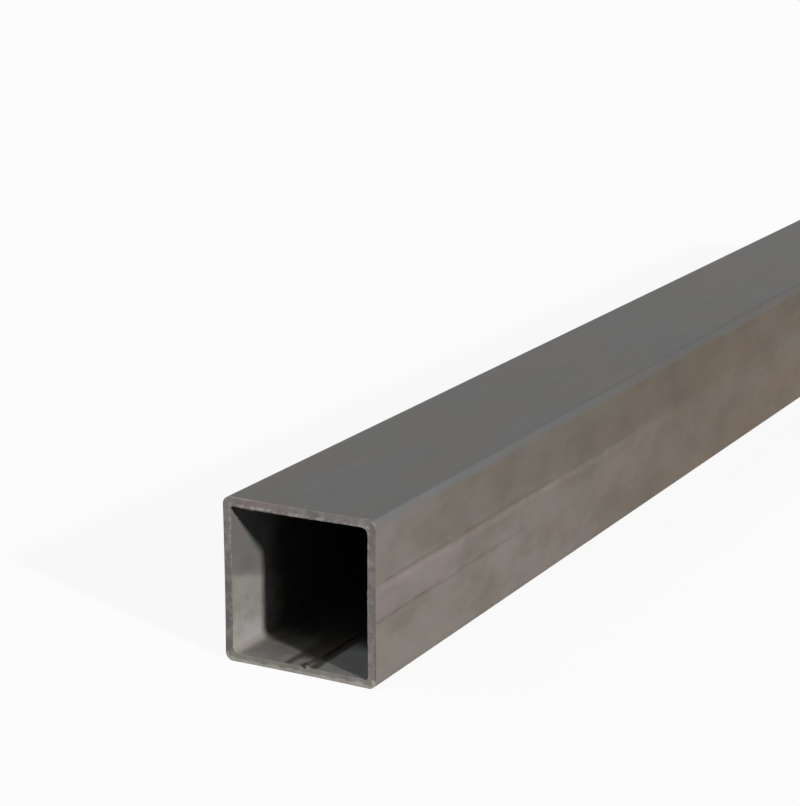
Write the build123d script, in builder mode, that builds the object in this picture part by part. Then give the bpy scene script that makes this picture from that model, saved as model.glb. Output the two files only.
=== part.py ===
"""Square steel tube: a welded, cold-formed hollow section, sawn square at both ends.

It is one piece of stock. A strip was rolled round, welded along its edges and squeezed square, so
the corners are round outside and in. The seam was planed flush outside, and the bead that the weld
pressed into the bore was left, along the bottom wall as the tube lies.

The tube lies along Y on a level floor, with +Z up. The origin is on the floor, under the middle of
its length.
"""

import os

from build123d import *

# Driving dimensions, in millimetres
length = 1000.0  # cut length
side = 80.0  # outside width and height
wall = 4.0  # wall thickness
outer_radius = 4.0  # outside of each corner
inner_radius = 2.0  # inside of each corner, where forming thickens the wall a little
bead_width = 3.0  # weld bead, across its foot
bead_height = 1.0  # how far the bead stands up from the bottom wall
bead_offset = 3.6  # bead's middle line, to the +X side of the wall's middle

# Worked out from them
bore = side - 2 * wall
bead_root = wall / 2  # the bead's profile reaches down to here, inside the wall
bead_left = bead_offset - bead_width / 2
bead_right = bead_offset + bead_width / 2

with BuildPart() as square_tube:
    # The section, seen from the near end, with its bottom edge on the floor
    with BuildSketch(Plane.XZ):
        with Locations((0, side / 2)):
            RectangleRounded(side, side, outer_radius)
            RectangleRounded(bore, bore, inner_radius, mode=Mode.SUBTRACT)
        # The bead: an arc above the bottom wall, closed by a foot that fuses into it
        with BuildLine():
            ThreePointArc((bead_left, wall), (bead_offset, wall + bead_height), (bead_right, wall))
            Polyline((bead_right, wall), (bead_right, bead_root), (bead_left, bead_root), (bead_left, wall))
        make_face()
    extrude(amount=length / 2, both=True)

square_tube.part.label = "square_tube"

os.makedirs("parts", exist_ok=True)
export_step(square_tube.part, "parts/square_tube.step")
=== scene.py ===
"""Looks of a square steel tube, a welded and cold-formed hollow section that lies on a floor.

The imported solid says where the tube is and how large. Here it becomes one closed mesh with what a
solid leaves out: faces that forming left slightly hollow, sawn ends with a torn inner edge, and a
weld bead that wanders. Four finishes cover it: the rolled skin outside, the bore, the sawn ends and
the bead.
"""

import math

import bpy
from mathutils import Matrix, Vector, noise


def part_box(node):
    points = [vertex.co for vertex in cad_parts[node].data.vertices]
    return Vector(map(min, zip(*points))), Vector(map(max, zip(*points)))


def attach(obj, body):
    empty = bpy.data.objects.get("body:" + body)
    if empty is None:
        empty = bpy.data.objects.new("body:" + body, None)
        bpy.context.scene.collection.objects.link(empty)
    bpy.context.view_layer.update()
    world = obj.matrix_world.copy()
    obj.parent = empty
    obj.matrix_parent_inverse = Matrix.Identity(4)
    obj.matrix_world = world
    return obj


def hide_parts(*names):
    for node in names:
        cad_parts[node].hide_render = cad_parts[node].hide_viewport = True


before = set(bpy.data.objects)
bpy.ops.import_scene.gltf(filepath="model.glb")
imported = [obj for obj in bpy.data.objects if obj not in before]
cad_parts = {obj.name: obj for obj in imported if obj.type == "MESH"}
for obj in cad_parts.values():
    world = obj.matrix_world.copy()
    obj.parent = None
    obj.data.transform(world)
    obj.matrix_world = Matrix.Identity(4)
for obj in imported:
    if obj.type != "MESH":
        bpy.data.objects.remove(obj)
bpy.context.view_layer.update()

# Sizes, in metres
mm = 0.001
low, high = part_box("square_tube")
side = high.x - low.x  # outside width and height
near_end = low.y
far_end = high.y
wall = 4 * mm
outer_radius = 4 * mm  # outside of each corner
tight_radius = 1.6 * mm  # inside of two corners
open_radius = 3.6 * mm  # inside of the other two, which the mill set less tightly
bead_width = 3 * mm
bead_height = 1 * mm
bead_offset = 3.6 * mm  # bead's middle line, to the +X side of the wall's middle

# Relief
hollow = 0.25 * mm  # how far a face's middle line is pressed in by forming
bead_sway = 0.3 * mm  # how far the bead wanders to each side
burr_height = 0.45 * mm  # tallest burr on a sawn end
burr_lean = 0.25 * mm  # how far the tallest burr leans into the bore
burr_hang = 1.1 * mm  # furthest that the burr hangs into the bore, under the top wall
saw_unevenness = 0.05 * mm  # how far a cut rises and falls
worn_edge = 0.3 * mm  # rounding of the outside edge of a sawn end

# How finely the mesh is cut
corner_steps = 10
face_steps = 84
bead_steps = 22
bead_zone = 1.4 * bead_width  # strip of the bottom wall that the bead's steps are spread over
edge_distances = [0.5 * mm, 1 * mm, 2 * mm]  # rings beside each cut
near_zone = 44 * mm  # finely cut stretch by the near end, where the bore shows
near_zone_steps = 20
middle_steps = 50
far_zone = [12 * mm, 7 * mm, 4 * mm]  # rings by the far end
behind_lip = 0.3 * mm  # the bore's first ring, behind the torn lip
square_on = 0.9999  # outward directions this close to an axis belong to a face, and not to a corner


def spaced(start, end, steps):
    """Even places from start up to end, with the end left out."""
    return [start + (end - start) * step / steps for step in range(steps)]


# The section


def outline(half, radii, bottom_shares):
    """Points round a rounded square, as (place, outward direction), from the bottom's left end. The
    radii and the bottom's own points start at the bottom, and the faces follow to the right."""
    points = []
    for turn in range(4):
        angle = math.radians(90 * turn)
        out = Vector((math.sin(angle), -math.cos(angle)))
        along = Vector((math.cos(angle), math.sin(angle)))
        begins = radii[turn - 1] - half
        ends = half - radii[turn]
        shares = spaced(-1, 1, face_steps) if turn else bottom_shares
        for share in shares:
            place = begins + (ends - begins) * (share + 1) / 2
            points.append((out * half + along * place, out))
        for step in range(corner_steps):
            swing = math.radians(90 * step / corner_steps)
            direction = out * math.cos(swing) + along * math.sin(swing)
            points.append(((out + along) * ends + direction * radii[turn], direction))
    return points


bore_half = side / 2 - wall
bead_share = bead_zone / 2 / (bore_half - tight_radius)
bead_middle = bead_offset / (bore_half - tight_radius)
bottom_shares = (
    spaced(-1, bead_middle - bead_share, face_steps // 2)
    + spaced(bead_middle - bead_share, bead_middle + bead_share, bead_steps)
    + spaced(bead_middle + bead_share, 1, face_steps // 2)
)
# The corners go round from the bottom right one to the bottom left one
outside = outline(side / 2, [outer_radius] * 4, bottom_shares)
bore = outline(bore_half, [tight_radius, open_radius] * 2, bottom_shares)
columns = len(outside)


def faces_down(out):
    """Whether a point with this outward direction is on the bottom wall, and not on a corner."""
    return out.y < -square_on


def rough(place, size, seed):
    """Smooth noise from -1 to 1 with lumps of the given size, at a place in metres."""
    return noise.noise(Vector(place) / size + Vector((seed * 17.3, seed * 5.1, seed * 9.7)))


def pressed_in(place, out):
    """How far forming pressed a face in here: most along its middle line, and nothing at a corner."""
    flat = side / 2 - outer_radius
    across = abs(place.x * out.y) + abs(place.y * out.x)
    is_face = max(abs(out.x), abs(out.y)) > square_on
    if not is_face:
        return 0.0
    return hollow * max(0.0, 1 - (across / flat) ** 2)


def bead_rise(x, y):
    """How far the weld bead stands up from the bottom wall, at x across and y along: an arc that
    wanders, and swells by up to a sixth of its height."""
    sway = bead_sway * rough((0, y, 0), size=30 * mm, seed=1)
    swell = 0.84 + 0.16 * rough((0, y, 0), size=7 * mm, seed=2)
    height = bead_height * swell
    radius = ((bead_width / 2) ** 2 + bead_height**2) / (2 * bead_height)
    across = abs(x - bead_offset - sway)
    if across >= bead_width / 2:
        return 0.0
    arc = math.sqrt(radius**2 - across**2) - (radius - bead_height)
    return height * max(0.0, arc) / bead_height


def burr(column, end):
    """How far the torn lip stands out at this point of the bore's edge, as a share of the tallest."""
    place = (bore[column][0].x, end, bore[column][0].y)
    tufts = rough(place, size=2.6 * mm, seed=3) + 0.5 * rough(place, size=1.2 * mm, seed=4)
    thick = 0.55 + 0.45 * rough(place, size=22 * mm, seed=5)
    return min(1.0, max(0.05, thick * (0.35 + tufts)))


def hang(column, end):
    """How far the torn lip hangs into the bore here. The saw left the top wall by its left corner,
    so the lip is longest there and dies out to the right."""
    place, out = bore[column]
    ragged = 0.75 + 0.5 * rough((place.x, end, place.y), size=6 * mm, seed=7)
    from_left = (place.x + bore_half) / (1.6 * bore_half)
    top = max(0.0, out.y) * (1 - from_left)
    return burr_lean * burr(column, end) + burr_hang * ragged * max(0.0, top)


# Rings of points round the tube, each at a share of the wall (0 outside, 1 bore) and a place along Y.
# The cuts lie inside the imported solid's ends, so that the burr stays in.
near_cut = near_end + burr_height
far_cut = far_end - burr_height
stations = (
    [near_cut + distance for distance in edge_distances + spaced(4 * mm, near_zone, near_zone_steps)]
    + spaced(near_cut + near_zone, far_cut - far_zone[0], middle_steps)
    + [far_cut - distance for distance in far_zone + edge_distances[::-1]]
)
# Across a cut they start past the worn edge and end beside the torn lip.
worn_share = worn_edge / wall
cut_shares = [worn_share] + spaced(0.16, 0.94, 7) + [0.95]


def ring(share, y, lift=None):
    """One closed ring of points at this share of the wall. lift(column) gives a shift along y."""
    points = []
    for column in range(columns):
        outer, out = outside[column]
        inner, _ = bore[column]
        here = outer.lerp(inner, share)
        here = here - out * pressed_in(outer, out)
        here.y += side / 2
        if faces_down(out):
            here.y += bead_rise(inner.x, y) * max(0.0, share * 2 - 1)
        along = y + (lift(column) if lift else 0.0)
        points.append((here.x, along, here.y))
    return points


def saw_wave(column, share, end):
    """The cut's own unevenness at a point of the rim."""
    here = outside[column][0].lerp(bore[column][0], share)
    return saw_unevenness * rough((here.x, end, here.y), size=5 * mm, seed=6)


def cut_rings(cut, outward):
    """Rings across a sawn end, from its outside edge to the torn lip at the bore."""
    rings = [ring(worn_share * 0.3, cut - outward * worn_edge * 0.3)]
    for share in cut_shares:
        rings.append(ring(share, cut, lambda column: outward * saw_wave(column, share, cut)))
    lip = [burr(column, cut) for column in range(columns)]
    rings.append(ring(1.0, cut, lambda column: outward * burr_height * lip[column]))
    for column in range(columns):
        x, y, z = rings[-1][column]
        out = bore[column][1]
        lean = hang(column, cut)
        rings[-1][column] = (x - out.x * lean, y, z - out.y * lean)
    return rings


def tube_mesh():
    """The whole tube as one closed skin: its points, its faces, and the number of each face's finish,
    which counts the skin, the bore, the sawn ends and the bead from 0."""
    skin_rings = [ring(0.0, y) for y in [near_cut + worn_edge] + stations + [far_cut - worn_edge]]
    far_rings = cut_rings(far_cut, 1)
    bore_stations = [far_cut - behind_lip] + stations[::-1] + [near_cut + behind_lip]
    bore_rings = [ring(1.0, y) for y in bore_stations]
    near_rings = cut_rings(near_cut, -1)[::-1]
    rings = skin_rings + far_rings + bore_rings + near_rings

    vertices = [point for one_ring in rings for point in one_ring]
    faces = []
    finishes = []
    skin_end = len(skin_rings) - 1
    far_rim_end = skin_end + len(far_rings)
    bore_end = far_rim_end + len(bore_rings)
    for row in range(len(rings)):
        after = (row + 1) % len(rings)
        for column in range(columns):
            beside = (column + 1) % columns
            corners = [(row, column), (after, column), (after, beside), (row, beside)]
            faces.append([ring_number * columns + place for ring_number, place in corners])
            if row < skin_end:
                finishes.append(0)
            elif far_rim_end < row < bore_end:
                over_bead = abs(bore[column][0].x - bead_offset) < bead_width / 2
                finishes.append(3 if over_bead and faces_down(bore[column][1]) else 1)
            else:
                finishes.append(2)
    return vertices, faces, finishes


# How a finish is built up


def linear(hex_colour):
    """An sRGB colour such as "7b746c", as linear red, green, blue and alpha."""
    parts = [int(hex_colour[i : i + 2], 16) / 255 for i in (0, 2, 4)]
    return [p / 12.92 if p <= 0.04045 else ((p + 0.055) / 1.055) ** 2.4 for p in parts] + [1.0]


def add(tree, kind, feeds, out=0, **settings):
    """Adds a node and returns one output. feeds holds each input's value, or the output that feeds it."""
    node = tree.nodes.new("ShaderNode" + kind)
    for name, value in settings.items():
        setattr(node, name, value)
    inputs = {socket.identifier: socket for socket in node.inputs}
    for name, value in feeds.items():
        if isinstance(value, bpy.types.NodeSocket):
            tree.links.new(value, inputs[name])
        else:
            inputs[name].default_value = value
    return node.outputs[out]


def where_all(tree, first, *others):
    """The masks multiplied together: where all of them are."""
    for other in others:
        first = add(tree, "Math", {"Value": first, "Value_001": other}, operation="MULTIPLY")
    return first


def where_any(tree, first, *others):
    """The largest of the masks: where any of them is."""
    for other in others:
        first = add(tree, "Math", {"Value": first, "Value_001": other}, operation="MAXIMUM")
    return first


def laid_over(tree, under, hex_colour, amount):
    """The colour laid over the one under it, by this amount."""
    feeds = {"Factor_Float": amount, "A_Color": under, "B_Color": linear(hex_colour)}
    return add(tree, "Mix", feeds, out=2, data_type="RGBA")


class Finish:
    """One finish: its material, where on the tube a point is in metres, and the colour so far. Masks
    go from 0 to 1."""

    def __init__(self, name, metallic, hex_colour):
        self.material = bpy.data.materials.new(name)
        self.material.use_nodes = True
        self.tree = self.material.node_tree
        self.shader = self.tree.nodes["Principled BSDF"]
        self.shader.inputs["Metallic"].default_value = metallic
        self.place = add(self.tree, "TexCoord", {}, out="Object")
        places = [add(self.tree, "SeparateXYZ", {"Vector": self.place}, out=axis) for axis in "XYZ"]
        self.x, self.y, self.z = places
        self.colour = linear(hex_colour)

    def wash(self, hex_colour, strength, *masks):
        """Lays a colour over what is there, as strongly as given, where all the masks are."""
        self.colour = laid_over(self.tree, self.colour, hex_colour, where_all(self.tree, *masks, strength))

    def rising(self, value, starts, full):
        """0 before starts, 1 after full, and smooth between them."""
        feeds = {"Value": value, "From Min": starts, "From Max": full}
        return add(self.tree, "MapRange", feeds, interpolation_type="SMOOTHSTEP")

    def falling(self, value, full, ends):
        """1 before full, 0 after ends, and smooth between them."""
        feeds = {"Value": value, "From Min": full, "From Max": ends, "To Min": 1.0, "To Max": 0.0}
        return add(self.tree, "MapRange", feeds, interpolation_type="SMOOTHSTEP")

    def apart(self, value, middle):
        """How far the value is from the middle, on either side."""
        gap = add(self.tree, "Math", {"Value": value, "Value_001": middle}, operation="SUBTRACT")
        return add(self.tree, "Math", {"Value": gap}, operation="ABSOLUTE")

    def stripe(self, value, middle, half_width, softness):
        """A stripe: 1 within half_width of its middle, fading to 0 over softness."""
        return self.falling(self.apart(value, middle), half_width, half_width + softness)

    def plus(self, value, share, other):
        """The value and a share of the other."""
        feeds = {"Value": other, "Value_001": share, "Value_002": value}
        return add(self.tree, "Math", feeds, operation="MULTIPLY_ADD")

    def depth(self):
        """How far in from the nearer end a point is."""
        return self.plus(far_end, -1.0, self.apart(self.y, 0.0))

    def patches(self, across, along, seed, begins, ends, detail=2.0, place=None):
        """Soft patches of the given size: 0 where the noise is under begins, 1 where it is over ends."""
        place = self.place if place is None else place
        scale = (1 / across, 1 / along, 1 / across)
        feeds = {"Vector": place, "Vector_001": scale}
        stretched = add(self.tree, "VectorMath", feeds, operation="MULTIPLY")
        feeds = {"Vector": stretched, "W": seed, "Scale": 1.0, "Detail": detail, "Roughness": 0.55}
        lumps = add(self.tree, "TexNoise", feeds, noise_dimensions="4D")
        return self.rising(lumps, begins, ends)

    def wavering(self, value, size, reach, seed):
        """The value, pushed to and fro by up to the reach, so that an edge drawn on it wavers."""
        push = self.patches(size, 3 * size, seed, 0.2, 0.8)
        push = add(self.tree, "Math", {"Value": push, "Value_001": 0.5}, operation="SUBTRACT")
        return self.plus(value, 2 * reach, push)

    def finished(self, shiny, dull, dullness, height, depth):
        """The material with its colour, a roughness from shiny to dull, and relief of the given depth."""
        roughness = add(self.tree, "MapRange", {"Value": dullness, "To Min": shiny, "To Max": dull})
        relief = add(self.tree, "Bump", {"Height": height, "Strength": 1.0, "Distance": depth})
        self.tree.links.new(self.colour, self.shader.inputs["Base Color"])
        self.tree.links.new(roughness, self.shader.inputs["Roughness"])
        self.tree.links.new(relief, self.shader.inputs["Normal"])
        return self.material


# The rolled skin


def mottle(skin):
    """Patches that run into each other, longer than they are high. Gives the olive ones back."""
    broad = skin.patches(40 * mm, 90 * mm, seed=10, begins=0.36, ends=0.64)
    skin.wash("5c554c", 0.26, broad)
    pinkish = skin.patches(22 * mm, 46 * mm, seed=2, begins=0.38, ends=0.7)
    skin.wash("8a7c7f", 0.38, pinkish)
    olive = skin.patches(20 * mm, 42 * mm, seed=3, begins=0.38, ends=0.7)
    skin.wash("605b4c", 0.5, olive)
    smudges = skin.patches(8 * mm, 15 * mm, seed=4, begins=0.42, ends=0.72, detail=3.0)
    skin.wash("4f4a43", 0.2, smudges)
    return olive


def brown_with_distance(skin, line_height, further_browner_and_dimmer):
    """The upper part is a darker olive, less so by the near end. Further off everything turns browner
    and darker, partly the steel's own tone and partly painted shade for the light falling off, and the
    first rust shows from a quarter of the way along."""
    upper = skin.rising(line_height, 44 * mm, 56 * mm)
    from_near_end = skin.rising(skin.y, near_end - 150 * mm, near_end + 120 * mm)
    skin.wash("544f41", 0.4, upper, from_near_end)
    # Partly painted shade: further off the skin is darkened as well as browned, for the light falling off
    # along the tube
    skin.wash("52483a", 0.78, further_browner_and_dimmer)
    skin.wash("463b2f", 0.35, further_browner_and_dimmer, upper)

    rusting = skin.rising(skin.y, near_end + 200 * mm, near_end + 560 * mm)
    red = skin.patches(26 * mm, 110 * mm, seed=5, begins=0.4, ends=0.64)
    skin.wash("69513b", 0.42, rusting, red)
    orange = skin.patches(13 * mm, 60 * mm, seed=6, begins=0.52, ends=0.7, detail=3.0)
    skin.wash("735434", 0.3, rusting, orange)


def mark_right_face(skin, line_height):
    """Two broken lines are drawn along the right face. By the near end it is pinkish between them and
    plain grey below, with a smudge where the lower one starts."""
    upper_line_height = 49 * mm
    lower_line_height = 32 * mm
    right_face = skin.rising(skin.x, 38.6 * mm, 39.2 * mm)

    close_by = skin.falling(skin.y, near_end + 60 * mm, near_end + 130 * mm)
    below = skin.falling(line_height, lower_line_height - 5 * mm, lower_line_height)
    skin.wash("78736b", 0.45, right_face, close_by, below)
    between = skin.stripe(line_height, 40 * mm, half_width=6 * mm, softness=3 * mm)
    uneven = skin.patches(16 * mm, 20 * mm, seed=16, begins=0.3, ends=0.62)
    skin.wash("85797c", 0.5, right_face, close_by, between, uneven)
    smudge_height = skin.stripe(line_height, 25.5 * mm, half_width=1.5 * mm, softness=4 * mm)
    smudge_along = skin.stripe(skin.y, near_end + 25 * mm, half_width=6 * mm, softness=14 * mm)
    skin.wash("5e564a", 0.4, right_face, smudge_height, smudge_along)

    # The lines, and paler metal under the upper one
    lines_start = skin.rising(skin.y, near_end - 20 * mm, near_end + 26 * mm)
    broken = skin.patches(9 * mm, 14 * mm, seed=11, begins=0.2, ends=0.75)
    upper_fades = skin.falling(skin.y, near_end + 160 * mm, near_end + 380 * mm)
    unsteady = skin.wavering(line_height, 10 * mm, 0.5 * mm, seed=12)
    upper_line = skin.stripe(unsteady, upper_line_height, half_width=0.1 * mm, softness=1.6 * mm)
    skin.wash("4a4438", 0.62, right_face, lines_start, upper_fades, upper_line, broken)
    paler_height = upper_line_height - 2.6 * mm
    under_line = skin.stripe(line_height, paler_height, half_width=0.4 * mm, softness=2.6 * mm)
    skin.wash("938a84", 0.36, right_face, upper_fades, under_line, broken)
    lower_fades = skin.falling(skin.y, near_end + 110 * mm, near_end + 190 * mm)
    unsteady = skin.wavering(line_height, 10 * mm, 0.5 * mm, seed=13)
    lower_line = skin.stripe(unsteady, lower_line_height, half_width=0.1 * mm, softness=1.4 * mm)
    skin.wash("524a48", 0.75, right_face, lines_start, lower_fades, lower_line, broken)


def grain_skin(skin):
    """Fine streaks from the rolls, and the grain of the oxide, drawn coarser than the real 0.1 mm so
    that it shows. Gives the grain back."""
    streaks = skin.patches(2.2 * mm, 150 * mm, seed=7, begins=0.35, ends=0.65)
    skin.wash("5d574f", 0.07, streaks)
    grain = skin.patches(0.8 * mm, 1.4 * mm, seed=8, begins=0.3, ends=0.7, detail=3.0)
    skin.wash("57524c", 0.12, grain)
    return grain


def dirt_and_shade_low_down(skin):
    """Dirt picked up from the floor as specks low down, and a dark line along the bottom edges that is
    painted contact shade.
    """
    low_down = skin.falling(skin.z, 1 * mm, 6 * mm)
    specks = skin.patches(1.6 * mm, 3 * mm, seed=9, begins=0.5, ends=0.6)
    skin.wash("4a4038", 0.45, low_down, specks)
    # Painted contact shade: a dark line along the bottom edges, where the tube meets the floor
    painted_contact_shade = skin.falling(skin.z, 0.8 * mm, 2.6 * mm)
    skin.wash("4a4038", 0.35, painted_contact_shade)


def plain_top(skin):
    """The top is a plainer dark grey, a little brown in places, with faint scuffs along it. The dark grey
    is partly the steel's own and partly painted shade. Gives the top back."""
    top = skin.rising(skin.z, side - 0.9 * mm, side - 0.4 * mm)
    # Partly painted shade: the whole top is laid darker than the sides
    skin.wash("545554", 0.9, top)
    brownish = skin.patches(34 * mm, 80 * mm, seed=14, begins=0.4, ends=0.66)
    skin.wash("5c554e", 0.5, top, brownish)
    scuffs = skin.patches(3 * mm, 40 * mm, seed=15, begins=0.45, ends=0.7)
    skin.wash("6a6a68", 0.16, top, scuffs)
    return top


def painted_corner_reflection(skin, further_browner_and_dimmer):
    """A painted reflection along the corners beside the top: a cool grey strip, brightest by the near
    end and darker further off.
    """
    beside_side = skin.rising(skin.apart(skin.x, 0.0), 35.6 * mm, 38.4 * mm)
    beside_top = skin.rising(skin.z, side - 5.5 * mm, side - 2.6 * mm)
    # Painted reflection: a cool grey strip along both corners beside the top, darker further off
    skin.wash("666b6f", 0.6, beside_side, beside_top)
    skin.wash("45403a", 0.5, beside_side, beside_top, further_browner_and_dimmer)


def tint_weld_outside(skin):
    """Heat tint of the weld on the bottom face, blue-black with straw edges, and the planed seam."""
    under = skin.falling(skin.z, 0.3 * mm, 0.6 * mm)
    straw = skin.stripe(skin.x, bead_offset, half_width=6 * mm, softness=2 * mm)
    skin.wash("7a6a4c", 0.6, under, straw)
    blue = skin.stripe(skin.x, bead_offset, half_width=4.4 * mm, softness=1.6 * mm)
    skin.wash("2e3340", 0.75, under, blue)
    planed = skin.stripe(skin.x, bead_offset, half_width=1.6 * mm, softness=0.4 * mm)
    skin.wash("87827b", 0.8, under, planed)


def rolled_skin():
    """Bare rolled steel, formed cold: a thin grey-brown oxide, so partly metal and fairly dull. It is
    mottled and browner with the first rust further off, where it is also darkened with painted shade,
    and a painted reflection lays a bluish grey strip along the corners beside the top."""
    skin = Finish("rolled_steel_skin", 0.4, "837c77")
    line_height = skin.wavering(skin.z, 60 * mm, 1.2 * mm, seed=1)
    further_browner_and_dimmer = skin.rising(skin.y, near_end - 60 * mm, near_end + 460 * mm)
    olive = mottle(skin)
    brown_with_distance(skin, line_height, further_browner_and_dimmer)
    mark_right_face(skin, line_height)
    grain = grain_skin(skin)
    dirt_and_shade_low_down(skin)
    top = plain_top(skin)
    painted_corner_reflection(skin, further_browner_and_dimmer)
    tint_weld_outside(skin)
    half_dull = where_all(skin.tree, olive, 0.35)
    dullness = where_any(skin.tree, half_dull, top)
    return skin.finished(shiny=0.57, dull=0.84, dullness=dullness, height=grain, depth=0.02 * mm)


# The bore


def stain_left_wall(inside, depth):
    """Greyer above, paler and greenish from the middle down, then pinkish, along edges that slope
    down from the cut."""
    sloping = inside.plus(inside.z, 0.26, depth)
    level = inside.wavering(sloping, 14 * mm, 1 * mm, seed=11)
    above = inside.rising(level, 38.8 * mm, 42.4 * mm)
    inside.wash("686465", 0.85, above)
    greenish = inside.stripe(level, 32 * mm, half_width=7 * mm, softness=6 * mm)
    inside.wash("92918a", 0.6, greenish)
    steeper = inside.plus(inside.z, 0.75, depth)
    pinkish = inside.falling(steeper, 24 * mm, 33 * mm)
    inside.wash("a9a2a0", 0.6, pinkish)


def smudge_bore(inside, depth):
    """Mottling, smudges in a band along the walls, bluish spots and a scuff lower down, and one smudge
    and a greenish tarnish above them by the ends. Gives the mottling back."""
    blotches = inside.patches(10 * mm, 10 * mm, seed=12, begins=0.4, ends=0.7)
    inside.wash("767370", 0.3, blotches)
    smudged = inside.stripe(inside.z, 22 * mm, half_width=6 * mm, softness=6 * mm)
    smudges = inside.patches(7 * mm, 9 * mm, seed=13, begins=0.4, ends=0.72)
    inside.wash("66625c", 0.4, smudged, smudges)
    bluish = inside.patches(7 * mm, 7 * mm, seed=14, begins=0.5, ends=0.7)
    lower_down = inside.falling(inside.z, 24 * mm, 34 * mm)
    inside.wash("9a9ea2", 0.22, bluish, lower_down)
    scuff_height = inside.stripe(inside.z, 9 * mm, half_width=3 * mm, softness=5 * mm)
    scuff_depth = inside.stripe(depth, 20 * mm, half_width=5 * mm, softness=8 * mm)
    inside.wash("a2a4a9", 0.6, scuff_height, scuff_depth)
    smudge_height = inside.stripe(inside.z, 45 * mm, half_width=1.5 * mm, softness=5 * mm)
    smudge_depth = inside.stripe(depth, 12 * mm, half_width=3 * mm, softness=6 * mm)
    inside.wash("56504f", 0.22, smudge_height, smudge_depth)
    tarnish_height = inside.stripe(inside.z, 54 * mm, half_width=3 * mm, softness=5 * mm)
    tarnish_depth = inside.stripe(depth, 18 * mm, half_width=3 * mm, softness=5 * mm)
    inside.wash("6b7268", 0.55, tarnish_height, tarnish_depth)
    return blotches


def stain_bottom_wall(inside, depth):
    """The bottom wall is worn, and pale beside the left wall. To the right of the weld, from 12 to 42 mm
    in, it is paler with a painted pool of light. The weld left a brown tint with two darker borders;
    the tint starts 6 mm in, partly its own and partly painted shade. A dark spot beside the bead's cut
    end is the bead end's painted shadow, and to the left painted shade starts from a line that slants
    in from the weld."""
    bottom = inside.falling(inside.z, wall + 0.2 * mm, wall + 3.4 * mm)
    inside.wash("747470", 0.85, bottom)
    worn = inside.patches(9 * mm, 12 * mm, seed=18, begins=0.4, ends=0.68)
    inside.wash("5d5a52", 0.45, bottom, worn)
    by_left_wall = inside.falling(inside.x, -35 * mm, -28 * mm)
    inside.wash("aaa59f", 0.6, bottom, by_left_wall)

    across = inside.wavering(inside.x, 8 * mm, 0.5 * mm, seed=15)
    past_weld = inside.rising(across, 8 * mm, 9.6 * mm)
    painted_light_from = inside.rising(depth, 12 * mm, 30 * mm)
    painted_light_to = inside.falling(depth, 30 * mm, 42 * mm)
    # Painted light: paler to the right of the weld from 12 to 42 mm in, where the soft light reaches
    inside.wash("a3a39e", 0.75, bottom, past_weld, painted_light_from, painted_light_to)

    tint_and_shade_from_cut = inside.rising(depth, 6 * mm, 14 * mm)
    tinted = inside.stripe(across, 0.2 * mm, half_width=5.5 * mm, softness=3 * mm)
    # Partly painted shade: the weld's tint is laid on only from 6 mm in, where the shade begins
    inside.wash("241f17", 0.92, bottom, tinted, tint_and_shade_from_cut)
    left_border = inside.stripe(across, -6.9 * mm, half_width=0.6 * mm, softness=2.6 * mm)
    inside.wash("2a241b", 0.78, bottom, left_border)
    right_border = inside.stripe(across, 6.6 * mm, half_width=1 * mm, softness=2.2 * mm)
    inside.wash("251f17", 0.85, bottom, right_border)
    painted_bead_shadow = inside.stripe(across, 1.3 * mm, half_width=0.9 * mm, softness=1.5 * mm)
    by_the_cut = inside.falling(depth, 4 * mm, 9 * mm)
    # Painted shadow: a dark spot beside the bead's cut end, where the bead's end shades the bottom wall
    inside.wash("1d1a13", 0.85, bottom, painted_bead_shadow, by_the_cut)

    slanting = inside.plus(depth, 0.5, across)
    painted_shade_starts = inside.rising(slanting, 9 * mm, 17 * mm)
    left_of_weld = inside.falling(across, -8 * mm, -5 * mm)
    # Painted shade: darker to the left of the weld from a line that slants in, along the edge of the
    # bore's shadow
    inside.wash("2b2a28", 0.55, bottom, painted_shade_starts, left_of_weld)


def bore_skin():
    """The strip's other face, never handled: paler by the ends, and dark further in with painted shade,
    where little light reaches. Its grain is drawn coarser than the real 0.1 mm so that it shows."""
    inside = Finish("rolled_steel_bore", 0.15, "95928e")
    depth = inside.depth()
    stain_left_wall(inside, depth)
    blotches = smudge_bore(inside, depth)
    stain_bottom_wall(inside, depth)
    # Painted shade: the bore darkens from about 28 mm in, where little light reaches
    painted_shade_edge = inside.wavering(depth, 10 * mm, 5 * mm, seed=16)
    painted_shade_deeper_in = inside.rising(painted_shade_edge, 28 * mm, 48 * mm)
    inside.wash("1d1b1a", 0.95, painted_shade_deeper_in)
    grain = inside.patches(1 * mm, 1.4 * mm, seed=17, begins=0.3, ends=0.7, detail=3.0)
    inside.wash("5d5850", 0.12, grain)
    return inside.finished(shiny=0.6, dull=0.75, dullness=blotches, height=grain, depth=0.03 * mm)


# The sawn ends and the bead


def colour_walls(cut):
    """Pinkish grey, darker half way up, browner down the left wall, and paler and greenish on the
    bottom one, palest to the right."""
    level = cut.wavering(cut.z, 12 * mm, 4 * mm, seed=21)
    half_way_up = cut.stripe(level, 40 * mm, half_width=12 * mm, softness=20 * mm)
    cut.wash("6f6a67", 0.7, half_way_up)
    left = cut.falling(cut.x, -35.8 * mm, -35.2 * mm)
    lower = cut.falling(level, 12 * mm, 60 * mm)
    cut.wash("625d55", 0.7, left, lower)
    bottom = cut.falling(cut.z, wall - 0.2 * mm, wall + 1.4 * mm)
    cut.wash("a39f96", 0.85, bottom)
    to_the_right = cut.rising(cut.x, 5 * mm, 36 * mm)
    cut.wash("c6c2ba", 0.75, bottom, to_the_right)


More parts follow.
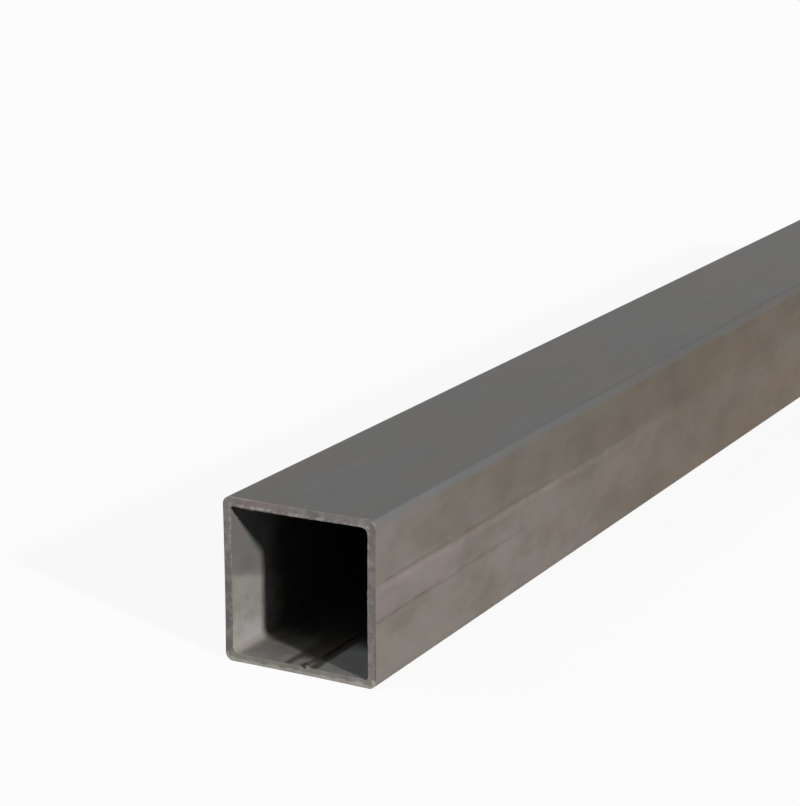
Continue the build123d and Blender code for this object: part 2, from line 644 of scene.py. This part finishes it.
def smear_cut(cut):
    """Blotches, smears, a reddish patch on the top wall, and the saw's fine lines, which all run one
    way. Gives the smears and the lines back."""
    smears = cut.patches(6 * mm, 6 * mm, seed=22, begins=0.36, ends=0.66)
    cut.wash("5d5752", 0.42, smears)
    pale = cut.patches(4.5 * mm, 4.5 * mm, seed=23, begins=0.42, ends=0.7, detail=3.0)
    cut.wash("b2ada5", 0.4, pale)
    pink = cut.patches(9 * mm, 9 * mm, seed=24, begins=0.45, ends=0.66)
    cut.wash("84777a", 0.4, pink)
    top_wall = cut.rising(cut.z, side - wall - 0.6 * mm, side - wall + 0.4 * mm)
    reddish = cut.stripe(cut.x, -23.5 * mm, half_width=6 * mm, softness=3 * mm)
    cut.wash("8f6f73", 0.32, top_wall, reddish)
    saw_place = add(cut.tree, "CombineXYZ", {"X": cut.z, "Y": cut.x, "Z": 0.0})
    saw_lines = cut.patches(0.35 * mm, 16 * mm, seed=28, begins=0.35, ends=0.65, place=saw_place)
    cut.wash("5f5a55", 0.18, saw_lines)
    return smears, saw_lines


def edge_cut(cut):
    """Torn metal by the bore, pale in flecks that are partly painted glints, and brighter high up, and a
    dark, worn outside edge, darkest at the right. The bottom wall is dirtier in the half beside the
    bore, and paler in the other."""
    outward = where_any(cut.tree, cut.apart(cut.x, 0.0), cut.apart(cut.z, side / 2))
    inner_edge = cut.falling(outward, bore_half + 0.4 * mm, bore_half + 1.5 * mm)
    flecks = cut.patches(2.6 * mm, 2.6 * mm, seed=25, begins=0.44, ends=0.66)
    high_up = cut.rising(cut.z, 46 * mm, 62 * mm)
    # Partly painted highlight: pale flecks along the torn inner edge stand in for glints on the burr
    cut.wash("bdb8b0", 0.6, inner_edge, flecks, high_up)
    cut.wash("aaa59c", 0.35, inner_edge, flecks)
    outer_edge = cut.rising(outward, side / 2 - 0.9 * mm, side / 2 - 0.3 * mm)
    worn = cut.patches(9 * mm, 9 * mm, seed=26, begins=0.4, ends=0.55)
    cut.wash("57514b", 0.55, outer_edge, worn)
    right_side = cut.rising(cut.x, 38 * mm, 39 * mm)
    lower_half = cut.falling(cut.z, 42 * mm, 52 * mm)
    cut.wash("4d4742", 0.5, outer_edge, right_side, lower_half)

    bottom = cut.falling(cut.z, wall, wall + 1 * mm)
    uneven = cut.wavering(outward, 5 * mm, 0.8 * mm, seed=29)
    inner_half = cut.falling(uneven, side / 2 - 2.6 * mm, side / 2 - 1.2 * mm)
    cut.wash("6e6a61", 0.48, bottom, inner_half)
    outer_half = cut.rising(uneven, side / 2 - 2.4 * mm, side / 2 - 1.4 * mm)
    cut.wash("c6c2ba", 0.3, bottom, outer_half)


def ring_bead_end(cut):
    """The bead's cut end: a pale ring round a dark pit."""
    pit = (bead_offset - 1 * mm, 0.0, wall + 0.5 * mm)
    section_place = add(cut.tree, "CombineXYZ", {"X": cut.x, "Y": 0.0, "Z": cut.z})
    feeds = {"Vector": section_place, "Vector_001": pit}
    from_pit = add(cut.tree, "VectorMath", feeds, out="Value", operation="DISTANCE")
    cut.wash("8f897d", 0.7, cut.falling(from_pit, 2.2 * mm, 3.4 * mm))
    cut.wash("1d1a13", 0.9, cut.falling(from_pit, 0.7 * mm, 1.5 * mm))


def sawn_steel():
    """Steel from the saw: partly metal, the least dull of the finishes, with the saw's fine lines. Its
    grain is drawn coarser than it is so that it shows."""
    cut = Finish("sawn_steel", 0.5, "827e7b")
    colour_walls(cut)
    smears, saw_lines = smear_cut(cut)
    edge_cut(cut)
    ring_bead_end(cut)
    grain = cut.patches(0.7 * mm, 0.7 * mm, seed=27, begins=0.3, ends=0.7, detail=3.0)
    cut.wash("69635d", 0.15, grain)
    return cut.finished(shiny=0.42, dull=0.6, dullness=smears, height=saw_lines, depth=0.03 * mm)


def weld_bead():
    """The bead of forced-out metal: scaled over, dull and brownish, and from 3 mm in darkened with
    painted shade to be as dark as the bore inside.
    """
    bead = Finish("weld_bead", 0.2, "57574f")
    pits = bead.patches(2 * mm, 2.5 * mm, seed=31, begins=0.5, ends=0.62, detail=3.0)
    bead.wash("39332b", 0.4, pits)
    bead_painted_shade = bead.rising(bead.depth(), 3 * mm, 10 * mm)
    # Painted shade: the bead darkens from 3 mm in, as the bore does
    bead.wash("25211c", 0.9, bead_painted_shade)
    return bead.finished(shiny=0.55, dull=0.75, dullness=pits, height=pits, depth=0.06 * mm)


def make_tube():
    """Makes the tube, gives it its finishes and puts it on the frame in the solid's place."""
    vertices, faces, finishes = tube_mesh()
    mesh = bpy.data.meshes.new("steel_tube")
    mesh.from_pydata(vertices, [], faces)
    for material in (rolled_skin(), bore_skin(), sawn_steel(), weld_bead()):
        mesh.materials.append(material)
    mesh.polygons.foreach_set("material_index", finishes)
    mesh.shade_smooth()
    tube = bpy.data.objects.new("steel_tube", mesh)
    bpy.context.scene.collection.objects.link(tube)
    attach(tube, "root")
    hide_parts("square_tube")


# Stage, light and camera


def seen_rays(tree):
    """1 for the rays that draw the picture and its reflections, and 0 for those that carry light."""
    rays = ["Is Camera Ray", "Is Glossy Ray", "Is Transmission Ray"]
    return where_any(tree, *[add(tree, "LightPath", {}, out=ray) for ray in rays])


def white_to_the_eye(tree, shaded, white, share):
    """Mixes the white in for the rays that are seen, and for no others."""
    amount = where_all(tree, seen_rays(tree), share)
    return add(tree, "MixShader", {"Fac": amount, "Shader": shaded, "Shader_001": white})


def make_floor():
    """A plain pale floor. Its white is mostly its own, so that the tube's shadow stays soft on it, and
    it throws little light back up."""
    reach = 12.0  # metres each way
    mesh = bpy.data.meshes.new("floor")
    corners = [(-reach, -reach, 0), (reach, -reach, 0), (reach, reach, 0), (-reach, reach, 0)]
    mesh.from_pydata(corners, [], [(0, 1, 2, 3)])
    material = bpy.data.materials.new("pale_floor")
    material.use_nodes = True
    tree = material.node_tree
    tree.nodes.remove(tree.nodes["Principled BSDF"])
    paper_colour = laid_over(tree, linear("7a7a7a"), "f4f4f4", seen_rays(tree))
    paper = add(tree, "BsdfDiffuse", {"Color": paper_colour})
    white = add(tree, "Emission", {"Color": linear("ffffff"), "Strength": 1.0})
    floor_shader = white_to_the_eye(tree, paper, white, share=0.9)
    tree.links.new(floor_shader, tree.nodes["Material Output"].inputs["Surface"])
    mesh.materials.append(material)
    floor = bpy.data.objects.new("floor", mesh)
    bpy.context.scene.collection.objects.link(floor)


def shine(name, strength, hex_colour, degrees_wide, travels):
    """A distant light, travelling the given way; the wider it is, the softer its shadows."""
    light = bpy.data.lights.new(name, "SUN")
    light.energy = strength
    light.color = linear(hex_colour)[:3]
    light.angle = math.radians(degrees_wide)
    lamp = bpy.data.objects.new(name, light)
    lamp.rotation_mode = "QUATERNION"
    lamp.rotation_quaternion = Vector(travels).to_track_quat("-Z", "Y")
    bpy.context.scene.collection.objects.link(lamp)


def light_the_scene():
    """Soft cool light all round, a warmer key from low on the right that reaches into the bore, a wide
    light from over the left of the camera, and another from behind on the left, which the near end
    doesn't see."""
    world = bpy.data.worlds.new("studio")
    world.use_nodes = True
    tree = world.node_tree
    fill = add(tree, "Background", {"Color": linear("f6f9ff"), "Strength": 0.1})
    white = add(tree, "Background", {"Color": linear("ffffff"), "Strength": 1.0})
    backdrop = white_to_the_eye(tree, fill, white, share=1.0)
    tree.links.new(backdrop, tree.nodes["World Output"].inputs["Surface"])
    bpy.context.scene.world = world

    shine("key", strength=3.4, hex_colour="fffdf9", degrees_wide=4, travels=(-0.863, 0.324, -0.377))
    shine("soft_left", strength=0.9, hex_colour="eaf1ff", degrees_wide=30, travels=(0.5, 0.36, -0.79))
    shine("soft_behind", strength=1.0, hex_colour="f6f8ff", degrees_wide=40, travels=(0.84, -0.38, -0.38))


def place_camera():
    """The photograph's view, fitted to the tube's edges in it: from the right of the near end, looking
    down a little."""
    turned = math.radians(28.474)
    dipped = math.radians(14.938)
    data = bpy.data.cameras.new("camera")
    data.lens = 102.73
    data.sensor_width = 36
    camera = bpy.data.objects.new("camera", data)
    camera.location = (0.5097, -1.343, 0.3913)
    camera.rotation_euler = (math.pi / 2 - dipped, 0, turned)
    bpy.context.scene.collection.objects.link(camera)
    bpy.context.scene.camera = camera


make_tube()
make_floor()
light_the_scene()
place_camera()
bpy.context.scene.view_settings.view_transform = "Standard"
